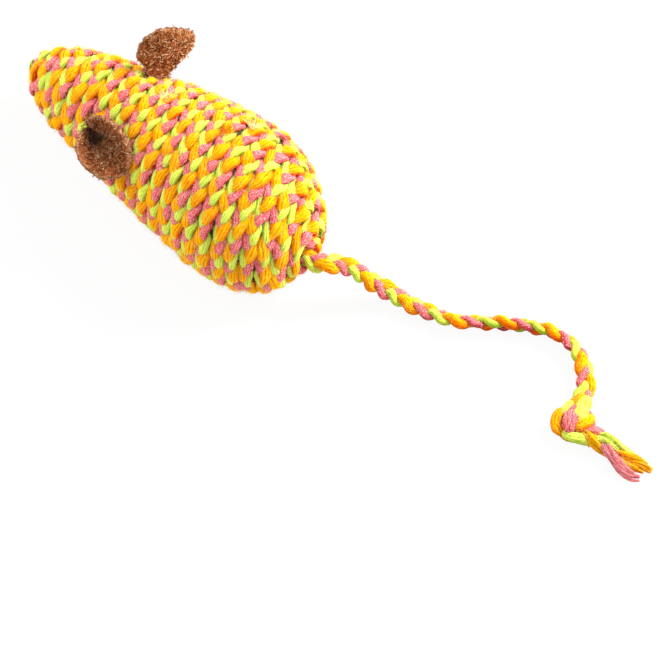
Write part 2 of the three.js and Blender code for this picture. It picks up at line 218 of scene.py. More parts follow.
class Bench:
    """One node tree, and the one way in which nodes are added to it."""

    def __init__(self, tree):
        self.tree = tree

    def fill(self, socket, value):
        if isinstance(value, Number):
            value = value.socket
        if isinstance(value, bpy.types.NodeSocket):
            self.tree.links.new(value, socket)
        elif value is not None:
            socket.default_value = value

    def add(self, kind, settings, *values, **named):
        """Adds a node: its settings first, then its sockets in order, then by name."""
        node = self.tree.nodes.new(kind)
        for name, value in settings.items():
            setattr(node, name, value)
        shown = [socket for socket in node.inputs if socket.enabled]
        for socket, value in zip(shown, values):
            self.fill(socket, value)
        for name, value in named.items():
            wanted = name.replace("_", " ")
            self.fill(next(s for s in shown if s.name == wanted), value)
        return node

    def out(self, kind, settings, *values, **named):
        """The first shown output of a new node, as a socket."""
        node = self.add(kind, settings, *values, **named)
        return next(socket for socket in node.outputs if socket.enabled)

    def number(self, kind, settings, *values, **named):
        return Number(self, self.out(kind, settings, *values, **named))

    def math(self, operation, *values):
        return self.number("ShaderNodeMath", {"operation": operation}, *values)

    def vector(self, operation, *values, **named):
        return self.out("ShaderNodeVectorMath", {"operation": operation}, *values, **named)

    def dot(self, first, second):
        node = self.add("ShaderNodeVectorMath", {"operation": "DOT_PRODUCT"}, first, second)
        return Number(self, node.outputs["Value"])

    def scaled(self, vector, amount):
        return self.vector("SCALE", vector, Scale=amount)

    def summed(self, *vectors):
        total = vectors[0]
        for vector in vectors[1:]:
            total = self.vector("ADD", total, vector)
        return total

    def ramp(self, value, start, end, high=1):
        """A value brought from one range onto 0 to high, and held at its ends."""
        return self.number("ShaderNodeMapRange", {}, value, start, end, 0, high)

    def noise(self, place, **named):
        return self.number("ShaderNodeTexNoise", {}, place, **named)

    def show(self, shader, kind="ShaderNodeOutputMaterial"):
        """Ends the tree with its shader."""
        self.fill(self.add(kind, {}).inputs["Surface"], shader)

    def seen(self):
        """1 where the camera looks, and 0 for light on its way."""
        return Number(self, self.add("ShaderNodeLightPath", {}).outputs["Is Camera Ray"])

    def mixed(self, factor, first, second):
        """A mix of two colours."""
        node = self.add("ShaderNodeMix", {"data_type": "RGBA"})
        for identifier, value in (
            ("Factor_Float", factor), ("A_Color", first), ("B_Color", second),
        ):
            self.fill(next(s for s in node.inputs if s.identifier == identifier), value)
        return next(s for s in node.outputs if s.identifier == "Result_Color")


class ShapeTree(Bench):
    """A Geometry Nodes tree with an input for each of the settings, and a finish."""

    def __init__(self, name, settings):
        super().__init__(bpy.data.node_groups.new(name, "GeometryNodeTree"))
        face = self.tree.interface
        for way in ("INPUT", "OUTPUT"):
            face.new_socket("Shape", in_out=way, socket_type="NodeSocketGeometry")
        for label, value in settings.items():
            kind = "NodeSocketInt" if isinstance(value, int) else "NodeSocketFloat"
            face.new_socket(label, in_out="INPUT", socket_type=kind)
        face.new_socket("Finish", in_out="INPUT", socket_type="NodeSocketMaterial")
        self.inside = self.tree.nodes.new("NodeGroupInput")

    def given(self, label):
        socket = self.inside.outputs[label]
        return Number(self, socket) if socket.type in ("VALUE", "INT") else socket

    def here(self):
        return self.out("GeometryNodeInputPosition", {})

    def read(self, name):
        """A number that the shape carries."""
        return self.number("GeometryNodeInputNamedAttribute", {"data_type": "FLOAT"}, name)

    def read_vector(self, name):
        return self.out(
            "GeometryNodeInputNamedAttribute", {"data_type": "FLOAT_VECTOR"}, name)

    def keep(self, shape, **values):
        """Lets the shape carry numbers and vectors, under the given names."""
        for name, value in values.items():
            kind = "FLOAT" if isinstance(value, Number) else "FLOAT_VECTOR"
            shape = self.out("GeometryNodeStoreNamedAttribute", {"data_type": kind}, shape,
                             Name=name, Value=value)
        return shape

    def place(self, shape, **where):
        return self.out("GeometryNodeSetPosition", {}, shape, **where)

    def stray(self, settings, **named):
        """Noise about zero, in each direction and as a number."""
        node = self.add("ShaderNodeTexNoise", settings, Detail=1.0, **named)
        vector = self.vector("SUBTRACT", node.outputs["Color"], (0.5, 0.5, 0.5))
        return vector, Number(self, node.outputs["Fac"]) - 0.5

    def close(self, shape):
        """Ends the tree with plain, smooth, finished faces, none of them below the floor."""
        shape = self.out("GeometryNodeRealizeInstances", {}, shape)
        shape = self.place(shape, Position=self.vector("MAXIMUM", self.here(), ON_FLOOR))
        shape = self.out("GeometryNodeSetShadeSmooth", {}, shape)
        shape = self.out("GeometryNodeSetMaterial", {}, shape, Material=self.given("Finish"))
        self.fill(self.tree.nodes.new("NodeGroupOutput").inputs[0], shape)
        return self.tree


def shaped(name, source, tree, values):
    """A new object with the plain mesh that a tree makes from a source mesh."""
    carrier = new_object(name + "_source", source)
    modifier = carrier.modifiers.new("shape", "NODES")
    modifier.node_group = tree
    for item in tree.interface.items_tree:
        if item.in_out == "INPUT" and item.name in values:
            modifier[item.identifier] = values[item.name]
    graph = bpy.context.evaluated_depsgraph_get()
    mesh = bpy.data.meshes.new_from_object(carrier.evaluated_get(graph))
    carrier.modifiers.remove(modifier)
    bpy.data.objects.remove(carrier)
    mesh.name = name
    return new_object(name, mesh)


PLAIT = {
    "Repeat": REPEAT, "Phase": 0.0, "Side Swing": 1.34 * MM, "Depth Swing": -0.52 * MM,
    "Half Width": 1.4 * MM, "Half Thickness": 0.92 * MM, "Plies": 11.0, "Ply Depth": 0.2,
    "Ply Twist": FULL_TURN / (9 * MM), "Wander": 0.95 * MM, "Uneven": 0.75,
    "Flatness": 0.15, "Swell": 0.2, "Swell Place": math.radians(120), "Skew": 0.2,
    "Lag": math.radians(20), "Over": -0.17 * MM, "Even": 0.0, "Corners": 32,
}
DRIFT_SCALE = 230.0  # of the noise by which a strand wanders and swells
OUTER_CROWDING = 0.55  # how far a strand's faces crowd toward its outer side
STRAY_SCALE = 700.0  # of the noise by which its plies stray
STRAY_SHARE = 6
GROOVE_SHARPNESS = 2.2
FLAT_ROUNDING = 0.03
# The level toward which Even holds a strand's painted light and shade.
CREST_LIFT = 0.8


def strand_tree():
    """Sweeps one plied strand of a plait along a line.

    The line's points carry how far along they are, the directions outward and aside, the
    room they have between their neighbours, and how full the strand is there.
    """
    tree = ShapeTree("plait_strand", PLAIT)
    along = tree.read("along")
    room = tree.read("room")
    outward = tree.read_vector("outward")
    angle = along * (FULL_TURN / tree.given("Repeat")) + tree.given("Phase")
    sway = (angle.sine() - (angle * 3).cosine() * tree.given("Skew")) * room
    lift = (angle * 2 - tree.given("Lag")).sine() * tree.given("Depth Swing")
    spot = tree.here()
    drift, bulk = tree.stray({"noise_dimensions": "4D"}, Vector=spot,
                             W=tree.given("Phase"), Scale=DRIFT_SCALE)
    line = tree.place(tree.given("Shape"), Offset=tree.summed(
        tree.scaled(tree.read_vector("aside"), sway * tree.given("Side Swing")),
        tree.scaled(outward, lift + angle.cosine() * tree.given("Over")),
        tree.scaled(drift, tree.given("Wander")),
    ))
    line = tree.out("GeometryNodeMeshToCurve", {}, line)
    heading = tree.out("GeometryNodeInputTangent", {})
    upright = tree.vector("NORMALIZE", tree.vector(
        "SUBTRACT", outward, tree.scaled(heading, tree.dot(outward, heading))))
    swell = ((angle - tree.given("Swell Place")) * 2).cosine() * tree.given("Swell")
    line = tree.keep(line, across=tree.vector("CROSS_PRODUCT", heading, upright),
                     upright=upright, heart=spot, bulk=bulk, swell=1 + swell)

    corners = tree.given("Corners")
    ring = tree.out("GeometryNodeCurvePrimitiveCircle", {}, corners, tree.given("Half Width"))
    index = tree.number("GeometryNodeInputIndex", {})
    ring = tree.keep(ring, round=index * FULL_TURN / corners - math.pi)
    tube = tree.out("GeometryNodeCurveToMesh", {}, line, ring, Fill_Caps=True)

    turned = tree.read("round")
    tube = tree.keep(tube, round=turned - turned.sine() * OUTER_CROWDING)
    strays = tree.noise(None, Scale=STRAY_SCALE, Detail=1.0) - 0.5
    ply = (turned * tree.given("Plies") + along * tree.given("Ply Twist")
           + strays * STRAY_SHARE)
    groove = 1 - (ply * 0.5).sine().size()
    uneven = 1 + tree.read("bulk") * tree.given("Uneven")
    girth = ((1 - groove.power(GROOVE_SHARPNESS) * tree.given("Ply Depth"))
             * tree.read("full") * uneven)
    level = turned.cosine()
    level = level * (level.size() + FLAT_ROUNDING).power(-tree.given("Flatness"))
    # lift, how far a face looks outward, gives the yarn's painted light on the crest and painted
    # shade on the sides; Even holds it toward CREST_LIFT.
    tube = tree.keep(tube, groove=groove,
                     lift=level + (CREST_LIFT - level) * tree.given("Even"))
    wide = turned.sine() * girth * room * tree.given("Half Width") * tree.read("swell")
    thick = level * girth * tree.given("Half Thickness")
    return tree.close(tree.place(tube, Position=tree.summed(
        tree.read_vector("heart"),
        tree.scaled(tree.read_vector("across"), wide),
        tree.scaled(tree.read_vector("upright"), thick),
    )))


YARN_FUZZ = {
    "Density": 1500000.0, "Length": 1.1 * MM, "Thickness": 0.013 * MM, "Lift": 0.8,
    "Curl": 1.1 * MM, "Curl Size": 0.9 * MM, "Stand Off": 1.0, "Bends": 4, "Seed": 7,
}
OUTER_SIDE = 0.15  # the least that a face looks outward where fibres grow
FIBRE_LENGTHS = (0.5, 1.4)  # shortest and longest, as shares
RIM_SHORTENING = 0.82


def fibre_tree():
    """Scatters fine bent fibres over the outer side of a mesh."""
    tree = ShapeTree("loose_fibres", YARN_FUZZ)
    seed = tree.given("Seed")
    out_side = tree.dot(tree.out("GeometryNodeInputNormal", {}), tree.read_vector("upright"))
    scatter = tree.add(
        "GeometryNodeDistributePointsOnFaces", {}, tree.given("Shape"),
        Density=tree.given("Density") * (out_side > OUTER_SIDE), Seed=seed,
    )
    stem = tree.out("GeometryNodeCurvePrimitiveLine", {}, (0, 0, 0), (0, 0, 1))
    stem = tree.out("GeometryNodeResampleCurve", {}, stem, Count=tree.given("Bends"))
    stem = tree.keep(stem, tip=tree.dot(tree.here(), (0, 0, 1)))
    stem = tree.place(stem, Offset=tree.scaled(tree.here(), tree.given("Length") - 1))
    ring = tree.out("GeometryNodeCurvePrimitiveCircle", {}, 3, tree.given("Thickness"))
    hair = tree.out("GeometryNodeCurveToMesh", {}, stem, ring, Fill_Caps=True)

    stray = tree.out("FunctionNodeRandomValue", {"data_type": "FLOAT_VECTOR"},
                     (-1, -1, -1), (1, 1, 1), Seed=seed)
    facing = scatter.outputs["Normal"]
    flat = tree.vector("SUBTRACT", stray, tree.scaled(facing, tree.dot(stray, facing)))
    heading = tree.summed(tree.scaled(facing, tree.given("Lift")),
                          tree.vector("NORMALIZE", flat))
    stand = tree.out("FunctionNodeAlignRotationToVector", {"axis": "Z"}, Vector=heading)
    length = tree.number("FunctionNodeRandomValue", {}, *FIBRE_LENGTHS, Seed=seed + 1)
    sized = tree.out("ShaderNodeCombineXYZ", {}, 1, 1,
                     length * (1 - tree.read("rim") * RIM_SHORTENING))
    shade = tree.number("FunctionNodeRandomValue", {}, 0.0, 1.0, Seed=seed + 2)
    spots = tree.keep(scatter.outputs["Points"], shade=shade, facing=facing)
    hairs = tree.out("GeometryNodeInstanceOnPoints", {}, spots,
                     Instance=hair, Rotation=stand, Scale=sized)
    hairs = tree.out("GeometryNodeRealizeInstances", {}, hairs)

    bend = tree.stray({}, Vector=tree.here(), Scale=1 / tree.given("Curl Size"))[0]
    facing = tree.read_vector("facing")
    bend = tree.vector("SUBTRACT", bend, tree.scaled(
        facing, tree.dot(bend, facing) * (1 - tree.given("Stand Off"))))
    return tree.close(tree.place(hairs, Offset=tree.scaled(
        bend, tree.read("tip") * tree.given("Curl"))))


# Lines that the plaits follow


def curve_through(points, closed=False, steps=60):
    """Dense points on the smooth centripetal curve through the given points."""
    points = np.array(points, float)
    count = len(points)
    if closed:
        spots = [points[(i + shift) % count] for i in range(count) for shift in (-1, 0, 1, 2)]
    else:
        before = 2 * points[0] - points[1]
        after = 2 * points[-1] - points[-2]
        longer = np.vstack([before, points, after])
        spots = [longer[i + shift] for i in range(count - 1) for shift in (0, 1, 2, 3)]
    share = np.linspace(0, 1, steps, endpoint=False)[:, None]
    pieces = []
    for a, b, c, d in np.array(spots).reshape(-1, 4, 3):
        gaps = [max(np.linalg.norm(q - p) ** 0.5, 1e-6) for p, q in ((a, b), (b, c), (c, d))]
        start = ((b - a) / gaps[0] - (c - a) / (gaps[0] + gaps[1]) + (c - b) / gaps[1]) * gaps[1]
        stop = ((c - b) / gaps[1] - (d - b) / (gaps[1] + gaps[2]) + (d - c) / gaps[2]) * gaps[1]
        square = -3 * b + 3 * c - 2 * start - stop
        cube = 2 * b - 2 * c + start + stop
        pieces.append(b + start * share + square * share**2 + cube * share**3)
    pieces.append(points[:1] if closed else points[-1:])
    return np.vstack(pieces)


def lengths_along(line):
    return np.concatenate([[0], np.cumsum(np.linalg.norm(np.diff(line, axis=0), axis=1))])


def eased(share):
    """A share held from 0 to 1 that starts and stops gently."""
    share = np.clip(share, 0, 1)
    return share * share * (3 - 2 * share)


def from_table(table, places):
    """What a table of places and values holds at the given places."""
    return np.interp(places, *np.transpose(table))


def unit(vectors):
    return vectors / np.maximum(np.linalg.norm(vectors, axis=-1, keepdims=True), 1e-12)


def read_off(places, at, values):
    """Rows of values read off between the places where they are known."""
    return np.stack([np.interp(places, at, column) for column in values.T], axis=-1)


centre_height = (BODY_HEIGHT_SHARE * BODY_HALF_WIDTH + PLAIT_THICKNESS / 2
                 - BELLY_FLAT - BELLY_PRESS)
belly_level = PLAIT_THICKNESS / 2 - BELLY_FLAT
left_side = [((station - 0.5) * BODY_LENGTH, width * BODY_HALF_WIDTH, height * centre_height)
             for station, width, height in BODY_OUTLINE]
right_side = [(x, -y, z) for x, y, z in left_side[-2:0:-1]]
side_line = curve_through(left_side + right_side, closed=True)
side_places = lengths_along(side_line)
side_length = side_places[-1] / 2
side_slope = unit(np.gradient(side_line, axis=0))


def body_points(along, angle, outset):
    """Points of the body at shares of its side line and angles from the top."""
    at = np.clip(along, 0, 1) * side_length
    side = read_off(at, side_places, side_line)
    slope = read_off(at, side_places, side_slope)
    out = unit(np.stack([-slope[:, 1], slope[:, 0]], axis=-1))
    half_width = side[:, 1] + outset * out[:, 1]
    half_height = BODY_HEIGHT_SHARE * side[:, 1] + outset * out[:, 1]
    height = side[:, 2] + half_height * np.cos(angle)
    return np.stack([
        side[:, 0] + outset * out[:, 0],
        -half_width * np.sin(angle),
        np.maximum(height, belly_level - outset),
    ], axis=-1)


loops_end = TAIL_BORE / (1 - LOOPS_LEAN) + side_length / LOOPS / 2
loops_pitch = (side_length - LOOPS_START - loops_end) / LOOPS


def winding_place(loops):
    angle = LOOPS_START_ANGLE + FULL_TURN * loops
    distance = LOOPS_START + loops_pitch * loops
    half_width = np.interp(distance, side_places, side_line[:, 1])
    lean = LOOPS_LEAN * half_width * np.cos(angle - LOOPS_LEAN_ANGLE)
    return (distance - lean) / side_length, angle


ear_places = body_points(np.array(EAR_STATIONS), np.array([EAR_FROM_TOP, -EAR_FROM_TOP]), 0)


def winding_points(loops, outset=0):
    """The middle of the plait round the body, soft and sagging as the real one is."""
    along, angle = winding_place(loops)
    drawn = np.clip((loops - LOOPS + DRAWN_TURNS) / DRAWN_TURNS, 0, DRAWN_MOST) ** 2
    along = along + drawn * DRAWN_IN / side_length
    on_left = np.clip(np.sin(angle), 0, 1)
    proud = from_table(PROUD, along) * MM * (1 - LEFT_LESS * on_left)
    level = body_points(along, angle, 0)
    for root in ear_places:
        away = np.linalg.norm(level - root, axis=1) / EAR_PRESS_REACH
        proud = proud - EAR_PRESS * np.exp(-away**2)
    points = body_points(along, angle, proud + outset)

    from_top = np.arccos(np.cos(angle))
    low = np.exp(-((from_top - REAR_SAG_FROM_TOP) / REAR_SAG_SPREAD) ** 2)
    corner = from_table(RUMP_CORNER_SHARE, along) * on_left * low * RUMP_CORNER
    sag = from_table(REAR_SAG_SHARE, along) * np.sin(angle) * low * REAR_SAG
    shift = from_table(REAR_SHIFT_SHARE, along) * REAR_SHIFT
    points[:, 0] += corner - NOSE_PROUD * np.clip(1 - along / NOSE_END, 0, 1)
    points[:, 1] -= corner + sag + shift
    points[:, 2] = np.maximum(points[:, 2], belly_level - outset)

    station, radius, height = COLLAR
    tuck = np.clip((loops - LOOPS) / TUCK_TURN - TUCK_DELAY, 0, 1) * COLLAR_TUCK
    station = station + COLLAR_SLOPE[0] * outset - tuck
    radius = radius + COLLAR_SLOPE[1] * outset
    collar = np.stack([station, -radius * np.sin(angle), height + radius * np.cos(angle)],
                      axis=-1)
    share = eased((loops - LOOPS) / COLLAR_TURN + 1)[:, None]
    return points * (1 - share) + collar * share


def unsteady(along, size, seed):
    """Smooth chance values from -1 to 1 along a line, with a hold about every size."""
    holds = int(along[-1] / size) + 3
    values = np.random.default_rng(seed).uniform(-1, 1, holds)
    place = along / size
    index = np.floor(place).astype(int)
    share = eased(place - index)
    return values[index] * (1 - share) + values[index + 1] * share


def matched_lengths(loops, turn):
    """How far along its pattern the plait is, stretched so that the turns' colours match."""
    matched = np.maximum(np.round((turn + SLIP) / REPEAT), 1) * REPEAT - SLIP
    share = (np.clip((turn - MATCHED_FROM) / MATCHED_RISE, 0, 1)
             * np.clip((LOOPS - MATCHED_LEAD - loops) / MATCHED_LEAD, 0, 1))
    stretch = 1 + share * (matched / turn - 1)
    window = int(0.5 * turn.max() / STEP)
    padded = np.pad(stretch, window // 2, "edge")
    smooth = np.convolve(padded, np.ones(window) / window, "same")
    return np.cumsum(smooth[window // 2:window // 2 + len(loops)]) * STEP


def room_beside(loops, points, heading):
    """The room between the turns on both sides, as a share of the usual room."""
    rooms = []
    for other in (-1, 1):
        beside = winding_points(np.clip(loops + other, 0, LOOPS))
        rooms.append(np.linalg.norm(np.cross(beside - points, heading), axis=1))
    rooms = np.array(rooms)
    rooms[0][loops < 1] = rooms[1][loops < 1]
    rooms[1][loops > LOOPS - 1] = rooms[0][loops > LOOPS - 1]
    room = np.clip(rooms.mean(axis=0) / USUAL_ROOM, *ROOM_LIMITS)
    return np.minimum(room, from_table(ROOM_AT_END, loops))


def winding_line():
    """The middle of the plait round the body: points, outward, aside, room, along."""
    rough = np.linspace(*WINDING_ENDS, WINDING_ROUGH)
    places = lengths_along(winding_points(rough))
    along = np.arange(0, places[-1], STEP)
    loops = np.interp(along, places, rough)
    turn = np.interp(loops + 0.5, rough, places) - np.interp(loops - 0.5, rough, places)
    points = winding_points(loops)
    outward = unit(winding_points(loops, PLAIT_THICKNESS) - points)
    heading = unit(np.gradient(points, axis=0))
    aside = unit(np.cross(outward, heading))
    room = room_beside(loops, points, heading)
    points = points + aside * (WAVER * unsteady(along, WAVER_LENGTH, 1))[:, None]
    rock = (TILT * unsteady(along, TILT_LENGTH, 2))[:, None]
    outward, aside = (outward * np.cos(rock) + aside * np.sin(rock),
                      aside * np.cos(rock) - outward * np.sin(rock))
    return points, outward, aside, room, matched_lengths(loops, turn)


def carry(mesh, label, values):
    """Writes a number or a direction on each point of a mesh, for the node trees."""
    values = np.asarray(values, np.float32)
    kind, field = ("FLOAT_VECTOR", "vector") if values.ndim == 2 else ("FLOAT", "value")
    mesh.attributes.new(label, kind, "POINT").data.foreach_set(field, values.ravel())


def line_mesh(name, points, outward, aside, room, along, full):
    """A mesh of points and edges that carries what the strand tree reads."""
    mesh = bpy.data.meshes.new(name)
    count = len(points)
    edges = np.stack([np.arange(count - 1), np.arange(1, count)], axis=-1)
    mesh.from_pydata(points.tolist(), edges.tolist(), [])
    for label, values in (("along", along), ("room", room), ("full", full)):
        carry(mesh, label, np.broadcast_to(values, count))
    carry(mesh, "outward", outward)
    carry(mesh, "aside", aside)
    return mesh


def tapered(along, at_start, at_end, reach):
    """Fullness that falls off toward the two ends of a line."""
    start = np.clip(along / reach, 0, 1)
    stop = np.clip((along[-1] - along) / reach, 0, 1)
    return (at_start + (1 - at_start) * start) * (at_end + (1 - at_end) * stop)


# Finishes


def linear(red, green, blue):
    """A colour written as on a screen, in the renderer's linear values."""
    def one(value):
        value /= 255
        return value / 12.92 if value <= 0.04045 else ((value + 0.055) / 1.055) ** 2.4
    return (one(red), one(green), one(blue), 1)


def finish_bench(name):
    """A new finish, its node tree, and the place on the object that is finished."""
    material = bpy.data.materials.new(name)
    material.use_nodes = True
    material.node_tree.nodes.clear()
    bench = Bench(material.node_tree)
    return material, bench, bench.add("ShaderNodeTexCoord", {}).outputs["Object"]


def surface(bench, colour, roughness, bump, constants):
    """Ends a finish with its shader. Constants are set on the shader's own sockets."""
    shader = bench.add("ShaderNodeBsdfPrincipled", {}, Base_Color=colour, Roughness=roughness)
    bench.fill(shader.inputs["Normal"], bump)
    for label, value in constants.items():
        shader.inputs[label].default_value = value
    bench.show(shader.outputs[0])


def attribute(bench, name):
    node = bench.add("ShaderNodeAttribute", {"attribute_name": name})
    return Number(bench, node.outputs["Fac"])


# How often the yarn's fibres and specks change: round the strand, and per metre along it.
FIBRE_ROUND = 2.4
FIBRE_SLANT = 300
FIBRE_ALONG = 170
SPECK_ROUND = 4.6
SPECK_ALONG = 1900
# Levels between which each of the yarn's shades comes in: the painted light on the crests, the
# painted shade in the grooves and on the sides, and the specks.
CREST_LEVELS = (0.55, 1.0)
GROOVE_LEVELS = (0.75, 1.15)
LOW_LEVELS = (0.85, 0.25)
DARK_LEVELS = (0.44, 0.36)
PALE_LEVELS = (0.54, 0.64)
GROOVE_DARKEST = 0.85
DARK_SHARE = 0.7  # of dark specks, beside the pale ones
# What each thing adds to the painted light on the crests, the painted shade in the grooves, and
# the bump.
CREST_LIFTED = 0.5
CREST_CLOUD = 0.8
GROOVE_FIBRE = 0.5
BUMP_SPECK = 0.4
BUMP_GROOVE = 0.6
YARN_SURFACE = {
    "Sheen Weight": 0.04, "Sheen Roughness": 0.4, "Specular IOR Level": 0.03,
    "Subsurface Weight": 0.4, "Subsurface Scale": 1.2 * MM,
    "Subsurface Radius": (1.0, 0.6, 0.3),
}


def yarn_finish(name, bright, middle, deep, fleck, fleck_share):
    """Spun yarn: fine fibres along the strand, painted shade in the grooves between plies and on
    its sides, painted light on its outward crests, and dark and paler flecks.
    """
    material, bench, place = finish_bench(name)
    along, turned, groove, lift = (attribute(bench, label)
                                   for label in ("along", "round", "groove", "lift"))
    lengthwise = bench.out("ShaderNodeCombineXYZ", {},
                           turned * FIBRE_ROUND + along * FIBRE_SLANT, along * FIBRE_ALONG, 0)
    fibres = bench.noise(lengthwise, Scale=5.0, Detail=4.0, Roughness=0.65)
    cloud = bench.noise(place, Scale=300.0, Detail=2.0)
    spun = bench.out("ShaderNodeCombineXYZ", {}, turned * SPECK_ROUND, along * SPECK_ALONG, 0)
    specks = bench.noise(spun, Scale=1.0, Detail=2.0, Roughness=0.7)
    # Painted light: the face of the strand that looks outward is lighter, mixed with a random
    # cloud of tone.
    crest = bench.ramp(lift * CREST_LIFTED + cloud * CREST_CLOUD, *CREST_LEVELS)
    # Painted shade in the grooves between the plies.
    hollow = bench.ramp(groove + fibres * GROOVE_FIBRE, *GROOVE_LEVELS, GROOVE_DARKEST)
    # Painted shade on the strand's sides, between it and its neighbours.
    low = bench.ramp(lift, *LOW_LEVELS)
    dark = bench.ramp(specks, *DARK_LEVELS, fleck_share * DARK_SHARE)
    pale = bench.ramp(specks, *PALE_LEVELS, fleck_share)
    colour = bench.mixed(crest, middle, bright)
    colour = bench.mixed(bench.math("MAXIMUM", hollow, low), colour, deep)
    colour = bench.mixed(dark, colour, deep)
    colour = bench.mixed(pale, colour, fleck)
    bump = bench.out("ShaderNodeBump", {}, Strength=0.7, Distance=0.16 * MM,
                     Height=fibres + specks * BUMP_SPECK - groove * BUMP_GROOVE)
    surface(bench, colour, 0.9, bump, YARN_SURFACE)
    return material


MOTTLE_GRAIN = 0.7  # the share of grain in a mottle, where the rest is cells
MOTTLE_LEVELS = (0.3, 0.6)


def plain_finish(name, bright, deep, scale, roughness, depth):
    """A mottled finish, for loose fibres of yarn and for what is inside the mouse."""
    material, bench, place = finish_bench(name)
    grain = bench.noise(place, Scale=scale, Detail=4.0, Roughness=0.65)
    cells = bench.number("ShaderNodeTexVoronoi", {}, place, Scale=scale * 2)
    mottle = bench.ramp(grain * MOTTLE_GRAIN + cells * (1 - MOTTLE_GRAIN), *MOTTLE_LEVELS)
    bump = bench.out("ShaderNodeBump", {}, Strength=0.6, Distance=depth, Height=grain + cells)
    surface(bench, bench.mixed(mottle, deep, bright), roughness, bump, {"Sheen Weight": 0.1})
    return material


FELT_BROAD = 0.4  # the share of broad patches in the felt's tone, where the rest is strands
FELT_BY_FIBRE = 0.7  # the share of each loose fibre's own shade in its tone
# Painted highlight along the felt's edges: its least strength, and its colour.
EDGE_HIGHLIGHT_LEAST = 0.4
EDGE_HIGHLIGHT_COLOUR = linear(190, 138, 100)
# The colour of the painted shade in an ear's hollow.
HOLLOW_SHADE_COLOUR = linear(26, 6, 4)


def felt_finish(name, by_fibre, edge_highlight_share, stops):
    """Brown wool felt: matted curly fibres of several browns, with a painted highlight along its
    edges and painted shade in an ear's hollow.
    """
    material, bench, place = finish_bench(name)
    broad = bench.noise(place, Scale=330.0, Detail=3.0, Roughness=0.6, Distortion=0.8)
    strands = bench.noise(place, Scale=1300.0, Detail=4.0, Roughness=0.75, Distortion=2.5)
    tone = broad * FELT_BROAD + strands * (1 - FELT_BROAD)
    if by_fibre:
        tone = tone * (1 - FELT_BY_FIBRE) + attribute(bench, "shade") * FELT_BY_FIBRE
    browns = bench.add("ShaderNodeValToRGB", {}, tone)
    elements = browns.color_ramp.elements
    while len(elements) < len(stops):
        elements.new(1)
    for element, (level, colour) in zip(elements, stops):
        element.position = level
        element.color = linear(*colour)
    # Painted highlight along the felt's edges, broken up by its strands.
    edge_highlight = attribute(bench, "edge_highlight") * (strands + EDGE_HIGHLIGHT_LEAST) * edge_highlight_share
    shade = bench.mixed(edge_highlight, browns.outputs["Color"], EDGE_HIGHLIGHT_COLOUR)
    # Painted shade in the hollow at an ear's root.
    shade = bench.mixed(attribute(bench, "hollow"), shade, HOLLOW_SHADE_COLOUR)
    bump = bench.out("ShaderNodeBump", {}, Strength=0.9, Distance=0.3 * MM, Height=strands)
    surface(bench, shade, 0.95, bump, {"Sheen Weight": 0.06, "Specular IOR Level": 0.03})
    return material


# Each yarn: a crest colour for painted light, its own colour, a deep colour for painted shade and
# for its dark specks, its pale fleck colour, and the fleck share.
YARN = {
    "orange": yarn_finish("orange_yarn", linear(255, 186, 0), linear(252, 150, 0),
                          linear(214, 70, 0), linear(255, 208, 70), 0.3),
    "pink": yarn_finish("pink_yarn", linear(238, 124, 128), linear(222, 84, 92),
                        linear(168, 22, 34), linear(255, 216, 208), 0.7),
    "lime": yarn_finish("lime_yarn", linear(226, 242, 96), linear(202, 226, 60),
                        linear(138, 160, 8), linear(248, 254, 172), 0.35),
}
FUZZ = {
    colour: plain_finish(colour + "_fuzz", linear(*bright), linear(*deep), 400.0, 0.9, 0.1 * MM)
    for colour, bright, deep in (
        ("orange", (255, 228, 140), (255, 200, 60)),
        ("pink", (252, 206, 204), (240, 160, 160)),
        ("lime", (246, 250, 186), (232, 244, 130)),
    )
}
FELT = felt_finish("wool_felt", False, 0.8, [
    (0.30, (72, 24, 4)), (0.45, (130, 60, 22)), (0.58, (184, 106, 58)), (0.74, (232, 158, 104)),
])
WOOL = felt_finish("loose_wool", True, 0.0, [
    (0.16, (84, 30, 6)), (0.38, (164, 86, 38)), (0.62, (224, 148, 90)), (0.86, (255, 220, 170)),
])

# Plaits

STRAND = strand_tree()
FIBRES = fibre_tree()
STRAND_ORDER = ("orange", "lime", "pink")
FULLNESS = {"orange": 1.19, "pink": 0.92, "lime": 0.9}  # the orange yarn is the loosest spun
# Even holds a bundle's painted light and shade partway toward an even level.
BUNDLE = {
    **PLAIT, "Side Swing": 0.0, "Depth Swing": 0.0, "Wander": 0.0, "Corners": 20,
    "Plies": 9.0, "Flatness": 0.0, "Swell": 0.0, "Ply Twist": FULL_TURN / (8 * MM),
    "Uneven": 0.4, "Over": 0.0, "Even": 0.5,
}
BUNDLE_STEP = 0.25 * MM


def plait(name, line, settings, shift=0.0):
    """Three strands along one line, as a dictionary from colour to piece."""
    made = {}
    for number, colour in enumerate(STRAND_ORDER):
        values = {**PLAIT, **settings, "Phase": FULL_TURN * number / 3 + shift,
                  "Finish": YARN[colour]}
        for size in ("Half Width", "Half Thickness"):
            values[size] *= FULLNESS[colour]
        made[colour] = shaped(f"{name}_{colour}", line.copy(), STRAND, values)
    return made


def joined(name, pieces):
    """One piece from several, with their finishes kept."""
    bpy.ops.object.select_all(action="DESELECT")
    for piece in pieces:
        piece.select_set(True)
    whole = pieces[0]
    bpy.context.view_layer.objects.active = whole
    bpy.ops.object.join()
    whole.name = name
    whole.data.name = name
    whole.select_set(False)
    return whole


def fuzz_on(piece, colour):
    """Fine loose fibres on a piece of yarn."""
    return shaped(piece.name + "_fuzz", piece.data.copy(), FIBRES,
                  {**YARN_FUZZ, "Finish": FUZZ[colour]})


def smooth_line(points, step):
    """Evenly spaced points on the curve through the given points, and their lengths."""
    dense = curve_through(np.array(points) * MM)
    places = lengths_along(dense)
    along = np.linspace(0, places[-1], max(int(places[-1] / step), 4))
    return read_off(along, places, dense), along


